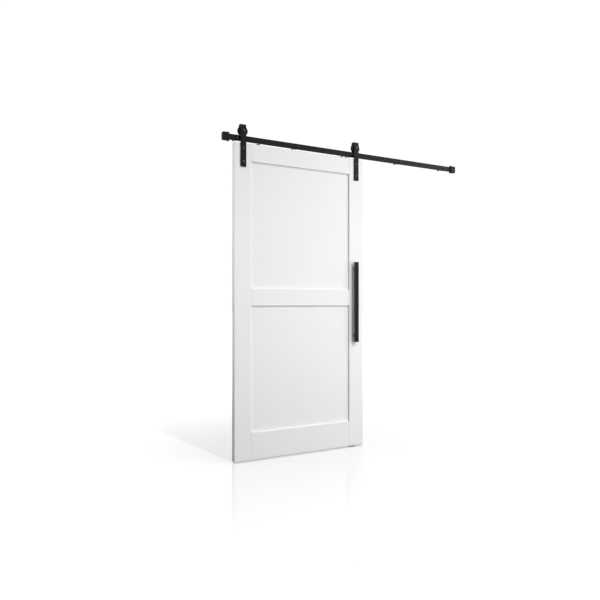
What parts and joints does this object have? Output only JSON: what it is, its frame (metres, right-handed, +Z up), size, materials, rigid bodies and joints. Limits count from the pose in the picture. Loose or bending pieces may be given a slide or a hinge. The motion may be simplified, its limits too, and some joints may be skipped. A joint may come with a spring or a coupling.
{
  "type": "sliding barn door",
  "caption": "White panelled sliding barn door hung by black strap hangers with grooved wheels from a flat-bar wall track, with end stops and a long bar handle.",
  "frame": {"origin": "where the middle wall bolt's axis crosses the wall's surface, at mid-height of the track bar", "axes": "+X along the track towards the opening side, +Y into the wall, +Z up"},
  "size_m": [2.01, 0.146, 2.265],
  "materials": {
    "painted_wood": "smooth white satin paint over a fine-grained board",
    "bare_wood": "plain beech dowels, out of sight in the joints",
    "black_steel": "matt black powder coat with a fine texture",
    "black_fastener": "satin black coated fasteners",
    "black_roller": "satin black turned steel wheels",
    "bright_steel": "ground bearing steel",
    "black_rubber": "matt black rubber"
  },
  "bodies": {
    "track": {"track_rail": "black_steel", "wall_spacer_1": "black_steel", "wall_spacer_2": "black_steel", "wall_spacer_3": "black_steel", "wall_spacer_4": "black_steel", "wall_spacer_5": "black_steel", "lag_bolts": "black_fastener", "lag_washers": "black_fastener", "end_stop_left": "black_steel", "end_stop_right": "black_steel", "stop_bumper_left": "black_rubber", "stop_bumper_right": "black_rubber", "stop_set_screws": "black_fastener", "floor_guide": "black_steel"},
    "door": {"stile_left": "painted_wood", "stile_right": "painted_wood", "top_rail": "painted_wood", "middle_rail": "painted_wood", "bottom_rail": "painted_wood", "upper_panel": "painted_wood", "lower_panel": "painted_wood", "rail_dowels": "bare_wood", "hanger_strap_left": "black_steel", "hanger_strap_right": "black_steel", "axle_bolt_left": "black_fastener", "axle_bolt_right": "black_fastener", "axle_nut_left": "black_fastener", "axle_nut_right": "black_fastener", "axle_bushes": "bright_steel", "bearing_inner_left": "bright_steel", "bearing_inner_right": "bright_steel", "strap_bolts": "black_fastener", "strap_barrel_nuts": "black_fastener", "anti_jump_disc_left": "black_steel", "anti_jump_disc_right": "black_steel", "anti_jump_screws": "black_fastener", "handle_bar": "black_steel", "handle_post_top": "black_steel", "handle_post_bottom": "black_steel", "handle_screws": "black_fastener"},
    "wheel_left": {"roller_left": "black_roller", "bearing_outer_left": "bright_steel", "bearing_balls_left": "bright_steel"},
    "wheel_right": {"roller_right": "black_roller", "bearing_outer_right": "bright_steel", "bearing_balls_right": "bright_steel"}
  },
  "joints": [
    {"name": "door_slide", "type": "slide", "parent": "track", "child": "door", "axis": [1, 0, 0], "range_m": [-0.067, 0.897]},
    {"name": "wheel_left_spin", "type": "hinge", "parent": "door", "child": "wheel_left", "pos_m": [-0.861, -0.041, 0.05], "axis": [0, 1, 0], "continuous": true},
    {"name": "wheel_right_spin", "type": "hinge", "parent": "door", "child": "wheel_right", "pos_m": [0.031, -0.041, 0.05], "axis": [0, 1, 0], "continuous": true}
  ],
  "couplings": [
    {"joint": "wheel_left_spin", "follows": "door_slide", "rad_per_m": 33.333},
    {"joint": "wheel_right_spin", "follows": "door_slide", "rad_per_m": 33.333}
  ]
}
